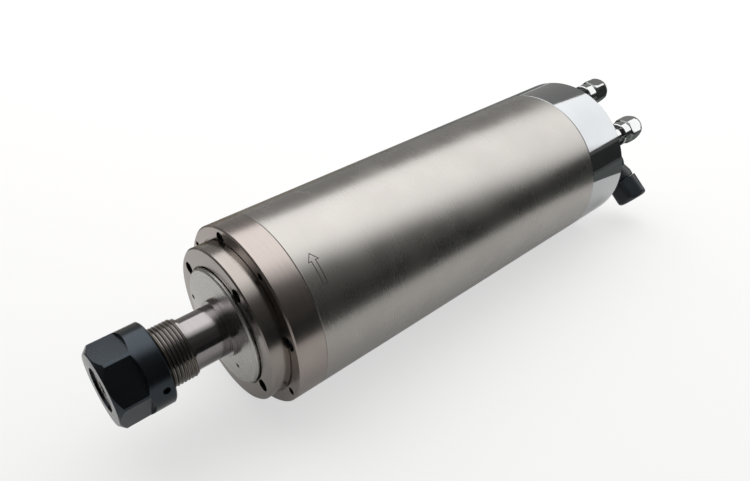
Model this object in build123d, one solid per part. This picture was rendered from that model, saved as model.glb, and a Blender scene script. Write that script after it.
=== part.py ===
from build123d import *
import os
from math import cos, radians, sin, tan

os.makedirs("parts", exist_ok=True)

# Water-cooled high-speed router spindle, 2.2 kW class, 80 mm body, ER20 collet nose.
# Millimetres. The spindle lies along X: nut towards -X, water and power connections
# towards +X, +Z up. X = 0 is the shoulder in front of the 80 mm body.
# Angles are measured about the X axis, from +Y towards +Z.

# ---- Driving dimensions: body ----
body_diameter = 80.0
body_length = 225.0  # nose face to rear face
shoulder_width = 6.0  # from the nose to the body, all round
nose_height = 8.5
rim_length = 13.0  # full-diameter rim of the front bearing housing
shoulder_relief_width = 1.0  # groove in the corner round the nose
shoulder_relief_depth = 0.5
cap_length = 27.5
edge_chamfer = 0.6
seam_chamfer = 0.2
sleeve_wall = 2.0
jacket_wall = 5.5
gasket_thickness = 0.4

# ---- Clearances ----
slip = 0.02  # radial, between parts that are pressed or slid together once
running = 0.4  # radial, between parts that turn past each other
hole_clearance = 0.15  # radial, round a screw shank or a wire
seat_gap = 0.05  # between a cone and its seat

# ---- Water circuit ----
channel_count = 16
channel_depth = 3.0
channel_width = 7.0
channel_end_wall = 11.0
channel_front_margin = 17.0
link_rise = 0.2  # floor of a cross channel above the channel floor
port_radius = 2.0
port_inset = 3.5  # from the jacket bore to the port circle
upper_port_angle = 88.0
lower_port_angle = 149.0
boss_radius = 6.8

# ---- Front bearing pair, 25 x 47 x 12 ----
front_bore_radius = 12.5
front_outer_radius = 23.5
front_width = 12.0
spacer_length = 6.0

# ---- Rear bearing, 15 x 32 x 9 ----
rear_bore_radius = 7.5
rear_outer_radius = 16.0
rear_width = 9.0

# ---- Bearing ring proportions ----
land_share = 0.218  # of a bearing's section, from the ball circle to each ring's land
shield_inset = 0.5
shield_thickness = 0.6
shield_gap = 0.1

# ---- Front bearing housing and its cover ----
cover_spigot_length = 3.0
housing_spigot_length = 25.0
housing_lip = 3.0
lip_length = 5.0
seal_groove_width = 1.8
seal_groove_depth = 1.0

# ---- Socket-head screws, M3 ----
screw_radius = 1.5
screw_head_radius = 2.75
screw_head_height = 3.0
screw_count = 4
cover_screw_angle = 30.0
cover_screw_sink = 3.0
cover_screw_length = 11.0
housing_screw_angle = 75.0
housing_screw_sink = 1.0
housing_screw_length = 18.0
cap_screw_inset = 2.0  # from the jacket bore to the screw circle
cap_screw_angle = 35.0
cap_screw_sink = 0.3
cap_screw_bite = 6.0  # thread length in the jacket
screw_tip_room = 0.5

# ---- Mounting holes in the shoulder, tapped M4 ----
tap_radius = 1.65
tap_depth = 8.0
tap_inset = 3.2  # from the body surface to the circle
tap_angle = 30.0

# ---- Dust cover and bearing lock nut ----
dust_cover_inset = 8.4  # from the nose edge
dust_cover_proud = 1.7
dust_cover_thickness = 2.8
dust_cover_bevel = 0.7
dust_recess_depth = 1.6
lock_nut_radius = 17.5
dust_hub_radius = 15.5
dust_hub_length = 3.4
dust_gap = 0.7  # round the dust cover and the lock nut
spanner_slot_width = 4.0
spanner_slot_depth = 1.6
balance_hole_radius = 1.1
balance_hole_depth = 1.2
balance_holes = ((8.1, 239.0), (2.8, 3.0))  # distance from the edge, and angle

# ---- Shaft ----
collar_proud = 2.0  # bearing seat standing out of the dust cover
neck_radius = 11.0
neck_length = 14.5
thread_pitch_radius = 12.0  # M25 x 1.5, drawn at its pitch diameter
thread_major_radius = 12.5
thread_length = 24.8
shaft_shoulder_step = 0.1  # below the inner ring's land
shaft_shoulder_length = 8.0
rotor_seat_share = 0.656  # of the rotor radius
rotor_seat_overrun = 9.0  # behind the rotor core
shaft_tail_radius = 10.0
tail_thread_length = 8.0
draft_bore_radius = 5.0
draft_bore_length = 12.0

# ---- Collet, ER20 ----
collet_length = 31.5
collet_large_radius = 10.5
collet_standout = 2.7  # large end of the taper in front of the shaft
collet_half_angle = 8.0
collet_front_angle = 30.0
collet_face_radius = 9.0
collet_lip_length = 0.6
collet_groove_radius = 9.2
collet_groove_width = 1.8
collet_bore_radius = 3.0
collet_grip_length = 18.0
collet_relief_radius = 3.8
collet_slit_count = 6
collet_slit_width = 0.7
collet_web = 5.0
collet_sunk = 1.0  # collet face behind the nut face

# ---- Collet nut, 34 mm, 30 mm across flats ----
nut_radius = 17.0
nut_length = 21.5
nut_flat_distance = 15.0
nut_flat_length = 13.0
nut_flat_end_radius = 26.0
nut_hex_angle = 22.0
nut_front_chamfer = 2.3
nut_rear_chamfer = 0.6
nut_balance_hole_radius = 1.5
nut_balance_hole_depth = 1.5
nut_balance_hole_angle = 177.0
nut_balance_hole_setback = 3.6
extraction_ring_width = 1.1
extraction_ring_offset = 0.4
extraction_ring_bore = 10.3

# ---- Motor ----
core_gap = 16.0  # from each bearing housing to the stator and rotor cores
air_gap = 0.4
stator_bore_share = 0.646  # of the stator radius
slot_count = 18
slot_width = 4.0
slot_bottom_share = 0.877  # of the stator radius
slot_mouth_width = 1.6
tooth_tip = 1.8
winding_length = 12.0
winding_chamfer = 2.5
slot_liner = 0.1  # round the winding in its slot
winding_room = 1.5  # inside and outside the winding heads
end_ring_length = 6.0
end_ring_rise = 1.1  # above the rotor seat
fin_count = 8
fin_length = 5.0
fin_width = 2.0

# ---- Rear bearing housing ----
rear_spigot_length = 21.0
rear_flange_length = 8.0
rear_lip = 3.0
rear_lip_length = 10.0
spigot_seal_offset = 4.0  # each side of the water port
spring_length = 3.0
spring_plate = 0.8
spring_inset = 0.3  # from the bearing's outer edge
spring_width = 1.9
tail_nut_radius = 11.5
tail_nut_length = 6.0

# ---- Rear cap ----
cap_plate = 5.0
cap_wall = 8.0
wire_hole_radius = 5.0

# ---- Water fittings with hose nuts, for 8 mm tube ----
fitting_thread_radius = 4.8
fitting_stub_length = 9.0
fitting_bore_radius = 3.0
fitting_hex = 12.0
fitting_hex_length = 5.0
fitting_neck_length = 16.0
washer_radius = 7.2
washer_thickness = 1.0
hose_nut_hex = 13.0
hose_nut_length = 15.0
hose_nut_cover = 8.6  # length of the neck that the nut covers
hose_nut_dome_radius = 7.75
hose_nut_dome_length = 5.9
tube_hole_radius = 4.1
tube_socket_length = 6.0
ferrule_length = 3.2
ferrule_taper = 0.4

# ---- Power socket and angled plug ----
socket_inset = 18.0  # from the body surface to the socket axis
socket_angle = 205.0
socket_radius = 8.0
socket_bore_radius = 6.4
socket_flange_radius = 10.2
socket_flange_length = 2.0
socket_reach = 10.5  # socket barrel in front of the rear face
socket_tail = 6.0
socket_nut_hex = 17.0
socket_nut_length = 3.0
insulator_rear = 3.0
insulator_depth = 6.0
pin_radius = 0.8
pin_circle_radius = 3.0
pin_count = 4
pin_angle = 40.0
pin_setback = 0.5
ring_radius = 11.0
ring_length = 12.5
ring_chamfer = 0.5
plug_flange_radius = 7.7
plug_flange_length = 2.0
plug_neck_radius = 7.0
plug_neck_length = 6.7
plug_insert_radius = 6.3
plug_pin_depth = 7.0
plug_radius = 8.8
plug_arm_radius = 8.6
plug_arm_angle = 213.0
plug_arm_length = 17.0
plug_arm_gap = 0.5
plug_corner = 9.0  # arm axis to each end of the corner
plug_corner_chamfer = 2.5
plug_end_wall = 2.0
plug_cavity_radius = 6.0
plug_arm_bore_radius = 5.0
gland_radius = 10.5
gland_hex = 19.0
gland_length = 11.0
gland_spigot_radius = 7.0
gland_spigot_length = 6.0
gland_dome_length = 4.0
cable_hole_radius = 4.0

# ---- Derived places along X ----
body_radius = body_diameter / 2
nose_radius = body_radius - shoulder_width
rear_face_x = body_length - nose_height
cap_front_x = rear_face_x - cap_length
sleeve_bore_radius = body_radius - sleeve_wall
jacket_radius = sleeve_bore_radius - slip
jacket_bore_radius = sleeve_bore_radius - jacket_wall
spigot_radius = jacket_bore_radius - slip
jacket_rear_x = cap_front_x - rear_flange_length
channel_rear_x = jacket_rear_x - channel_end_wall
channel_front_x = rim_length + channel_front_margin
channel_floor_radius = jacket_radius - channel_depth
port_x = channel_rear_x - channel_width / 2
bearing_a_x = cover_spigot_length
bearing_b_x = bearing_a_x + front_width + spacer_length
shoulder_x = bearing_b_x + front_width
housing_rear_x = max(rim_length + housing_spigot_length, shoulder_x + lip_length)
core_front_x = housing_rear_x + core_gap
rear_housing_x = jacket_rear_x - rear_spigot_length
core_rear_x = rear_housing_x - core_gap
stator_radius = jacket_bore_radius - slip
stator_bore_radius = stator_radius * stator_bore_share
slot_bottom_radius = stator_radius * slot_bottom_share
winding_inner_radius = stator_bore_radius + winding_room
winding_outer_radius = stator_radius - winding_room
rotor_radius = stator_bore_radius - air_gap
rotor_seat_radius = rotor_radius * rotor_seat_share
end_ring_inner_radius = rotor_seat_radius + end_ring_rise
rear_flange_x = cap_front_x - gasket_thickness
rear_lip_x = rear_housing_x + rear_lip_length
rear_bearing_x = rear_lip_x + spring_length
tail_nut_x = rear_bearing_x + rear_width
dust_front_x = -nose_height - dust_cover_proud
dust_rear_x = dust_front_x + dust_cover_thickness
lock_nut_x = dust_rear_x + dust_hub_length
collar_x = dust_front_x - collar_proud
neck_x = collar_x - neck_length
shaft_front_x = neck_x - thread_length
taper_x = shaft_front_x - collet_standout
collet_cone_length = (collet_large_radius - collet_face_radius) / tan(radians(collet_front_angle))
collet_lip_x = taper_x - collet_groove_width
collet_face_x = collet_lip_x - collet_lip_length - collet_cone_length
collet_rear_x = collet_face_x + collet_length
nut_front_x = collet_face_x - collet_sunk
nut_rear_x = nut_front_x + nut_length
washer_x = rear_face_x + washer_thickness
neck_start_x = washer_x + fitting_hex_length
neck_end_x = neck_start_x + fitting_neck_length
hose_nut_x = neck_end_x - hose_nut_cover
hose_nut_end_x = hose_nut_x + hose_nut_length
ferrule_x = neck_end_x + seat_gap
ferrule_end_x = ferrule_x + ferrule_length
socket_front_x = rear_face_x - cap_plate - socket_tail
socket_end_x = rear_face_x + socket_reach
pin_start_x = socket_front_x - 0.5
insulator_end_x = socket_end_x - insulator_depth
pin_end_x = socket_end_x - pin_setback
ring_x = rear_face_x + socket_flange_length + 0.7
ring_end_x = ring_x + ring_length
plug_flange_x = socket_end_x + 0.4
plug_neck_x = plug_flange_x + plug_flange_length
elbow_x = ring_end_x + plug_arm_gap + plug_corner

cover_screw_circle_radius = (front_outer_radius + nose_radius) / 2
housing_screw_circle_radius = (jacket_bore_radius + sleeve_bore_radius) / 2
cap_screw_circle_radius = jacket_bore_radius + cap_screw_inset
tap_circle_radius = body_radius - tap_inset
port_circle_radius = jacket_bore_radius - port_inset
socket_circle_radius = body_radius - socket_inset
wire_circle_radius = (rear_outer_radius + spigot_radius) / 2
dust_cover_radius = nose_radius - dust_cover_inset
cap_cavity_radius = body_radius - cap_wall
front_ball_circle = (front_bore_radius + front_outer_radius) / 2
front_land = (front_outer_radius - front_bore_radius) * land_share
rear_ball_circle = (rear_bore_radius + rear_outer_radius) / 2
rear_land = (rear_outer_radius - rear_bore_radius) * land_share
spring_outer_radius = rear_outer_radius - spring_inset
spring_inner_radius = spring_outer_radius - spring_width
shaft_shoulder_radius = front_ball_circle - front_land - shaft_shoulder_step
shaft_shoulder_x = shoulder_x + shaft_shoulder_length
cover_screw_head_x = -nose_height + cover_screw_sink
cover_screw_tip_x = cover_screw_head_x + screw_head_height + cover_screw_length
housing_screw_tip_x = housing_screw_sink + screw_head_height + housing_screw_length
cap_screw_head_x = rear_face_x - cap_screw_sink
cap_screw_tip_x = jacket_rear_x - cap_screw_bite
jacket_seal_xs = (
    (housing_screw_tip_x + screw_tip_room + channel_front_x) / 2,
    (cap_screw_tip_x - screw_tip_room + channel_rear_x) / 2,
)
spigot_seal_xs = (port_x - spigot_seal_offset, port_x + spigot_seal_offset)
extraction_ring_x = (collet_lip_x + taper_x - extraction_ring_width) / 2


# ---- Shape helpers ----
def turned(*outline):
    """A solid turned about the X axis from (x, radius) corners."""
    return revolve(make_face(Polyline(*outline, close=True)), Axis.X)


def tube(start, end, outer, inner=0.0):
    """A plain ring or disc about the X axis."""
    return turned((start, inner), (end, inner), (end, outer), (start, outer))


def rod(radius, start, end, circle=0.0, angle=0.0):
    """A round bar parallel to the X axis, on a circle about it."""
    place = Rot(X=angle) * Pos((start + end) / 2, circle, 0) * Rot(Y=90)
    return place * Cylinder(radius, end - start)


def radial_rod(radius, inner, outer, x, angle):
    """A round bar that points straight out from the X axis."""
    place = Rot(X=angle) * Pos(x, (inner + outer) / 2, 0) * Rot(X=90)
    return place * Cylinder(radius, outer - inner)


def radial_box(start, end, inner, outer, width, angle):
    """A bar of rectangular section that lies along X at a radius."""
    place = Rot(X=angle) * Pos((start + end) / 2, (inner + outer) / 2, 0)
    return place * Box(end - start, outer - inner, width)


def hexagon(across_flats, start, end, angle=0.0):
    """A hexagonal bar along the X axis."""
    outline = Rot(X=angle) * Plane.YZ.offset(start) * RegularPolygon(across_flats / 2, 6, major_radius=False)
    return extrude(outline, end - start)


def around(shape, count, start_angle=0.0):
    """Copies of a shape spaced evenly about the X axis."""
    return [Rot(X=start_angle + 360 / count * i) * shape for i in range(count)]


def offset_axis(circle, angle):
    """Where an axis parallel to X stands, on a circle about it."""
    return Pos(0, circle * cos(radians(angle)), circle * sin(radians(angle)))


def group(shapes):
    """Separate solids kept together in one node."""
    return Compound(children=[solid for shape in shapes for solid in shape.solids()])


# ---- Fasteners, seals and bearing rings ----
def screw(head_x, tip_x, circle):
    """A socket-head screw between the outer face of its head and its tip."""
    way = 1 if tip_x > head_x else -1
    seat_x = head_x + way * screw_head_height
    head = rod(screw_head_radius, min(head_x, seat_x), max(head_x, seat_x), circle)
    shank = rod(screw_radius, min(seat_x, tip_x), max(seat_x, tip_x), circle)
    return head + shank


def seal(floor_radius, bore_radius, x):
    """A square-section seal ring lying in its groove."""
    half = (bore_radius - floor_radius - seat_gap) / 2
    return tube(x - half, x + half, bore_radius - seat_gap / 2, floor_radius + seat_gap / 2)


def groove(radius, x):
    """The cutter for a seal groove in a turned surface."""
    half = seal_groove_width / 2
    return tube(x - half, x + half, radius + 1, radius - seal_groove_depth)


def sealed_ring(start, width, outer, inner, shield_bore):
    """An outer bearing ring with a shield on each side, closed round the balls."""
    blank = tube(start, start + width, outer, inner)
    near = start + shield_inset
    far = start + width - shield_inset
    near_shield = tube(near, near + shield_thickness, inner + 1, shield_bore)
    far_shield = tube(far - shield_thickness, far, inner + 1, shield_bore)
    return blank + [near_shield, far_shield]


# ---- Body: sleeve and water jacket ----
def outer_sleeve():
    """The polished tube that closes the water channels."""
    return turned(
        (rim_length, sleeve_bore_radius),
        (rim_length, body_radius - seam_chamfer),
        (rim_length + seam_chamfer, body_radius),
        (cap_front_x - seam_chamfer, body_radius),
        (cap_front_x, body_radius - seam_chamfer),
        (cap_front_x, sleeve_bore_radius),
    )


def channel_angle(index):
    """Where a water channel lies, counted the long way round between the ports."""
    span = upper_port_angle + 360 - lower_port_angle
    return lower_port_angle + span / (channel_count - 1) * index


def channel(index):
    """The cutter for one channel along the jacket."""
    return radial_box(
        channel_front_x,
        channel_rear_x,
        channel_floor_radius,
        body_radius,
        channel_width,
        channel_angle(index),
    )


def channel_link(index):
    """The cutter that joins one channel to the next, at alternate ends."""
    start = channel_rear_x - channel_width if index % 2 else channel_front_x
    section = make_face(
        Polyline(
            (start, channel_floor_radius + link_rise),
            (start + channel_width, channel_floor_radius + link_rise),
            (start + channel_width, body_radius),
            (start, body_radius),
            close=True,
        )
    )
    step = channel_angle(1) - channel_angle(0)
    return Rot(X=channel_angle(index)) * revolve(section, Axis.X, step)


def water_jacket():
    """The sleeve's inner wall, with the water channel to and fro along it."""
    blank = tube(rim_length, jacket_rear_x, jacket_radius, jacket_bore_radius)
    cutters = [channel(i) for i in range(channel_count)]
    cutters += [channel_link(i) for i in range(channel_count - 1)]
    for angle in (upper_port_angle, lower_port_angle):
        cutters.append(radial_rod(port_radius, spigot_radius - 1, body_radius, port_x, angle))
    front_hole = rod(
        screw_radius + slip,
        rim_length - 1,
        housing_screw_tip_x + screw_tip_room,
        housing_screw_circle_radius,
    )
    rear_hole = rod(
        screw_radius + slip,
        cap_screw_tip_x - screw_tip_room,
        jacket_rear_x + 1,
        cap_screw_circle_radius,
    )
    cutters += around(front_hole, screw_count, housing_screw_angle)
    cutters += around(rear_hole, screw_count, cap_screw_angle)
    cutters += [groove(jacket_radius, x) for x in jacket_seal_xs]
    return blank - cutters


def jacket_seals():
    """The seals between the jacket and the sleeve, one at each end."""
    floor = jacket_radius - seal_groove_depth
    return group([seal(floor, sleeve_bore_radius, x) for x in jacket_seal_xs])


# ---- Front bearing housing ----
def front_bearing_housing():
    """The flanged housing for the bearing pair, with the shoulder as its face."""
    bore = front_outer_radius + slip
    lip_bore = front_outer_radius - housing_lip
    blank = turned(
        (0, bore),
        (0, body_radius - edge_chamfer),
        (edge_chamfer, body_radius),
        (rim_length - seam_chamfer, body_radius),
        (rim_length, body_radius - seam_chamfer),
        (rim_length, spigot_radius),
        (housing_rear_x, spigot_radius),
        (housing_rear_x, lip_bore),
        (shoulder_x, lip_bore),
        (shoulder_x, bore),
    )
    head_seat = housing_screw_sink + screw_head_height
    head_hole = rod(screw_head_radius + hole_clearance, -1, head_seat, housing_screw_circle_radius)
    shank_hole = rod(screw_radius + hole_clearance, 0, rim_length + 1, housing_screw_circle_radius)
    cover_hole = rod(
        screw_radius + slip,
        -1,
        cover_screw_tip_x + screw_tip_room,
        cover_screw_circle_radius,
    )
    tapped_hole = rod(tap_radius, -1, tap_depth, tap_circle_radius)
    relief_inner = nose_radius - shoulder_relief_width / 2
    relief = tube(-1, shoulder_relief_depth, relief_inner + shoulder_relief_width, relief_inner)
    cutters = [relief]
    cutters += around(head_hole, screw_count, housing_screw_angle)
    cutters += around(shank_hole, screw_count, housing_screw_angle)
    cutters += around(cover_hole, screw_count, cover_screw_angle)
    cutters += around(tapped_hole, screw_count, tap_angle)
    return blank - cutters


def front_housing_screws():
    """The screws that hold the housing to the water jacket."""
    one = screw(housing_screw_sink, housing_screw_tip_x, housing_screw_circle_radius)
    return group(around(one, screw_count, housing_screw_angle))


def front_bearing_cover():
    """The nose disc that clamps the outer rings and shields the bearings."""
    recess = dust_cover_radius + dust_gap
    nut_bore = lock_nut_radius + dust_gap
    hub_bore = dust_hub_radius + dust_gap
    spigot = front_outer_radius - slip
    spigot_bore = front_ball_circle + front_land + running
    wall_x = -nose_height + dust_recess_depth
    nut_space_x = lock_nut_x - dust_gap
    blank = turned(
        (-nose_height, recess),
        (-nose_height, nose_radius - edge_chamfer),
        (-nose_height + edge_chamfer, nose_radius),
        (0, nose_radius),
        (0, spigot),
        (cover_spigot_length, spigot),
        (cover_spigot_length, spigot_bore),
        (0, spigot_bore),
        (0, nut_bore),
        (nut_space_x, nut_bore),
        (nut_space_x, hub_bore),
        (wall_x, hub_bore),
        (wall_x, recess),
    )
    seat_x = cover_screw_head_x + screw_head_height
    head_hole = rod(
        screw_head_radius + hole_clearance,
        -nose_height - 1,
        seat_x,
        cover_screw_circle_radius,
    )
    shank_hole = rod(screw_radius + hole_clearance, seat_x - 1, 1, cover_screw_circle_radius)
    cutters = around(head_hole, screw_count, cover_screw_angle)
    cutters += around(shank_hole, screw_count, cover_screw_angle)
    return blank - cutters


def front_cover_screws():
    """The screws that hold the nose disc."""
    one = screw(cover_screw_head_x, cover_screw_tip_x, cover_screw_circle_radius)
    return group(around(one, screw_count, cover_screw_angle))


# ---- Front bearings ----
def front_outer_rings():
    """The shielded outer rings of the bearing pair."""
    inner = front_ball_circle + front_land
    shield_bore = front_ball_circle - front_land + shield_gap
    return group(
        [
            sealed_ring(x, front_width, front_outer_radius, inner, shield_bore)
            for x in (bearing_a_x, bearing_b_x)
        ]
    )


def front_inner_rings():
    """The inner rings of the bearing pair, on the shaft."""
    outer = front_ball_circle - front_land
    bore = front_bore_radius + slip
    return group(
        [tube(x, x + front_width, outer, bore) for x in (bearing_a_x, bearing_b_x)]
    )


def outer_spacer():
    """The distance ring between the outer rings."""
    bore = front_ball_circle + front_land + running
    return tube(bearing_a_x + front_width, bearing_b_x, front_outer_radius, bore)


def inner_spacer():
    """The distance ring between the inner rings."""
    outer = front_ball_circle - front_land - running
    return tube(bearing_a_x + front_width, bearing_b_x, outer, front_bore_radius + slip)


# ---- Motor ----
def slot_box(start, end, inner, outer, width):
    """The same bar in every stator slot."""
    return around(radial_box(start, end, inner, outer, width, 0), slot_count)


def stator_core():
    """The lamination stack, with half-closed slots."""
    tip_radius = stator_bore_radius + tooth_tip
    blank = tube(core_front_x, core_rear_x, stator_radius, stator_bore_radius)
    slots = slot_box(core_front_x - 1, core_rear_x + 1, tip_radius, slot_bottom_radius, slot_width)
    mouths = slot_box(
        core_front_x - 1,
        core_rear_x + 1,
        stator_bore_radius - 1,
        tip_radius + 1,
        slot_mouth_width,
    )
    return blank - (slots + mouths)


def winding_head(core_x, way):
    """The moulded bundle of windings at one end of the core."""
    end_x = core_x + way * winding_length
    bevel_x = end_x - way * winding_chamfer
    return turned(
        (core_x, winding_inner_radius),
        (core_x, winding_outer_radius),
        (bevel_x, winding_outer_radius),
        (end_x, winding_outer_radius - winding_chamfer),
        (end_x, winding_inner_radius + winding_chamfer),
        (bevel_x, winding_inner_radius),
    )


def stator_windings():
    """The windings: a bar in each slot and a head at each end."""
    bars = slot_box(
        core_front_x - 1,
        core_rear_x + 1,
        stator_bore_radius + tooth_tip + slot_liner,
        slot_bottom_radius - slot_liner,
        slot_width - 2 * slot_liner,
    )
    heads = [winding_head(core_front_x, -1), winding_head(core_rear_x, 1)]
    return heads[0] + (bars + [heads[1]])


def rotor_core():
    """The rotor's lamination stack; its bars lie closed inside it."""
    return tube(core_front_x, core_rear_x, rotor_radius, rotor_seat_radius + slip)


def rotor_end_ring(core_x, way):
    """The cast ring that joins the rotor's bars, with its balancing fins."""
    outer = rotor_radius - running / 2
    end_x = core_x + way * end_ring_length
    ring = tube(min(core_x, end_x), max(core_x, end_x), outer, end_ring_inner_radius)
    fin_x = end_x + way * fin_length
    fin = radial_box(
        min(end_x - way, fin_x),
        max(end_x - way, fin_x),
        end_ring_inner_radius + slip,
        outer - running,
        fin_width,
        0,
    )
    return ring + around(fin, fin_count)


def rotor_end_rings():
    """The end rings at both ends of the rotor."""
    return group([rotor_end_ring(core_front_x, -1), rotor_end_ring(core_rear_x, 1)])


# ---- Rear bearing housing ----
def rear_bearing_housing():
    """The housing for the rear bearing, with the water passages and the wire hole."""
    bore = rear_outer_radius + slip
    lip_bore = rear_outer_radius - rear_lip
    blank = turned(
        (rear_housing_x, lip_bore),
        (rear_housing_x, spigot_radius),
        (jacket_rear_x, spigot_radius),
        (jacket_rear_x, jacket_radius),
        (rear_flange_x, jacket_radius),
        (rear_flange_x, bore),
        (rear_lip_x, bore),
        (rear_lip_x, lip_bore),
    )
    cutters = [groove(spigot_radius, x) for x in spigot_seal_xs]
    for angle in (upper_port_angle, lower_port_angle):
        cutters.append(rod(port_radius, port_x, rear_flange_x + 1, port_circle_radius, angle))
        cutters.append(radial_rod(port_radius, port_circle_radius, spigot_radius + 1, port_x, angle))
    cutters.append(
        rod(
            wire_hole_radius,
            rear_housing_x - 1,
            rear_flange_x + 1,
            wire_circle_radius,
            socket_angle,
        )
    )
    screw_hole = rod(
        screw_radius + hole_clearance,
        jacket_rear_x - 1,
        rear_flange_x + 1,
        cap_screw_circle_radius,
    )
    cutters += around(screw_hole, screw_count, cap_screw_angle)
    return blank - cutters


def housing_seals():
    """The seals each side of the water ports in the rear spigot."""
    floor = spigot_radius - seal_groove_depth
    return group([seal(floor, jacket_bore_radius, x) for x in spigot_seal_xs])


def rear_outer_ring():
    """The shielded outer ring of the rear bearing, free to slide under preload."""
    inner = rear_ball_circle + rear_land
    shield_bore = rear_ball_circle - rear_land + shield_gap
    return sealed_ring(rear_bearing_x, rear_width, rear_outer_radius, inner, shield_bore)


def rear_inner_ring():
    """The inner ring of the rear bearing, on the shaft."""
    outer = rear_ball_circle - rear_land
    return tube(rear_bearing_x, rear_bearing_x + rear_width, outer, rear_bore_radius + slip)


def preload_spring():
    """Two disc springs, set inner edge to inner edge, that preload the bearings."""
    middle_x = (rear_lip_x + rear_bearing_x) / 2
    discs = []
    for edge_x, way in ((rear_lip_x, 1), (rear_bearing_x, -1)):
        disc = turned(
            (edge_x, spring_outer_radius),
            (edge_x + way * spring_plate, spring_outer_radius),
            (middle_x - way * slip, spring_inner_radius),
            (middle_x - way * spring_plate, spring_inner_radius),
        )
        discs.append(disc)
    return group(discs)


# ---- Shaft and what turns with it ----
def spanner_slots(start, end, radius):
    """The cutters for the spanner slots round a slotted nut."""
    slot = radial_box(
        start - 1,
        end + 1,
        radius - spanner_slot_depth,
        radius + 1,
        spanner_slot_width,
        0,
    )
    return around(slot, screw_count)


def taper_radius(x):
    """The radius of the collet taper at a place along it."""
    return collet_large_radius - (x - taper_x) * tan(radians(collet_half_angle))


def spindle_shaft():
    """The shaft, bored at the front with the collet taper."""
    taper_end_x = collet_rear_x + collet_web
    rear_seat_x = core_rear_x + rotor_seat_overrun
    tail_end_x = tail_nut_x + tail_thread_length
    return turned(
        (shaft_front_x, taper_radius(shaft_front_x) + seat_gap),
        (shaft_front_x, thread_pitch_radius),
        (neck_x, thread_pitch_radius),
        (neck_x, neck_radius),
        (collar_x, neck_radius),
        (collar_x, front_bore_radius),
        (shoulder_x, front_bore_radius),
        (shoulder_x, shaft_shoulder_radius),
        (shaft_shoulder_x, shaft_shoulder_radius),
        (shaft_shoulder_x, rotor_seat_radius),
        (rear_seat_x, rotor_seat_radius),
        (rear_seat_x, shaft_tail_radius),
        (rear_bearing_x, shaft_tail_radius),
        (rear_bearing_x, rear_bore_radius),
        (tail_end_x, rear_bore_radius),
        (tail_end_x, 0),
        (taper_end_x + draft_bore_length, 0),
        (taper_end_x + draft_bore_length, draft_bore_radius),
        (taper_end_x, draft_bore_radius),
        (taper_end_x, taper_radius(taper_end_x) + seat_gap),
    )


def dust_cover():
    """The disc on the shaft that throws dirt and coolant off the nose."""
    bore = front_bore_radius + slip
    blank = turned(
        (dust_front_x, bore),
        (dust_front_x, dust_cover_radius - dust_cover_bevel),
        (dust_front_x + dust_cover_bevel, dust_cover_radius),
        (dust_rear_x, dust_cover_radius),
        (dust_rear_x, dust_hub_radius),
        (lock_nut_x, dust_hub_radius),
        (lock_nut_x, bore),
    )
    floor_x = dust_front_x + balance_hole_depth
    return blank - [
        rod(balance_hole_radius, dust_front_x - 1, floor_x, dust_cover_radius - inset, angle)
        for inset, angle in balance_holes
    ]


def bearing_lock_nut():
    """The slotted nut that clamps the front inner rings."""
    blank = tube(lock_nut_x, bearing_a_x, lock_nut_radius, front_bore_radius + slip)
    return blank - spanner_slots(lock_nut_x, bearing_a_x, lock_nut_radius)


def rear_lock_nut():
    """The slotted nut that clamps the rear inner ring."""
    end_x = tail_nut_x + tail_nut_length
    blank = tube(tail_nut_x, end_x, tail_nut_radius, rear_bore_radius + slip)
    return blank - spanner_slots(tail_nut_x, end_x, tail_nut_radius)


# ---- Collet and nut ----
def collet():
    """The slit collet that grips the tool shank."""
    relief_x = collet_face_x + collet_grip_length
    blank = turned(
        (collet_face_x, collet_bore_radius),
        (collet_face_x, collet_face_radius),
        (collet_lip_x - collet_lip_length, collet_large_radius),
        (collet_lip_x, collet_large_radius),
        (collet_lip_x, collet_groove_radius),
        (taper_x, collet_groove_radius),
        (taper_x, collet_large_radius),
        (collet_rear_x, taper_radius(collet_rear_x)),
        (collet_rear_x, collet_relief_radius),
        (relief_x, collet_relief_radius),
        (relief_x, collet_bore_radius),
    )
    front_slit = radial_box(
        collet_face_x - 1,
        collet_rear_x - collet_web,
        0,
        collet_large_radius + 1,
        collet_slit_width,
        0,
    )
    rear_slit = radial_box(
        collet_face_x + collet_web,
        collet_rear_x + 1,
        0,
        collet_large_radius + 1,
        collet_slit_width,
        180 / collet_slit_count,
    )
    return blank - (around(front_slit, collet_slit_count) + around(rear_slit, collet_slit_count))


def collet_nut():
    """The clamping nut, with spanner flats and the cone that closes the collet."""
    bore = thread_major_radius + seat_gap
    cone_offset = seat_gap / cos(radians(collet_front_angle))
    ring_seat_x = extraction_ring_x - seat_gap
    lip_bore = collet_large_radius + cone_offset
    cone_x = collet_lip_x - collet_lip_length
    blank = turned(
        (nut_front_x, collet_face_radius + cone_offset),
        (nut_front_x, nut_radius - nut_front_chamfer),
        (nut_front_x + nut_front_chamfer, nut_radius),
        (nut_rear_x - nut_rear_chamfer, nut_radius),
        (nut_rear_x, nut_radius - nut_rear_chamfer),
        (nut_rear_x, bore),
        (ring_seat_x, bore),
        (ring_seat_x, lip_bore),
        (cone_x, lip_bore),
        (collet_face_x, collet_face_radius + cone_offset),
    )
    mill_x = nut_front_x + nut_flat_length - nut_flat_end_radius
    flat = radial_rod(nut_flat_end_radius, nut_flat_distance, nut_radius + 1, mill_x, 0)
    balance_hole = radial_rod(
        nut_balance_hole_radius,
        nut_radius - nut_balance_hole_depth,
        nut_radius + 1,
        nut_rear_x - nut_balance_hole_setback,
        nut_balance_hole_angle,
    )
    return blank - (around(flat, 6, nut_hex_angle) + [balance_hole])


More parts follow.
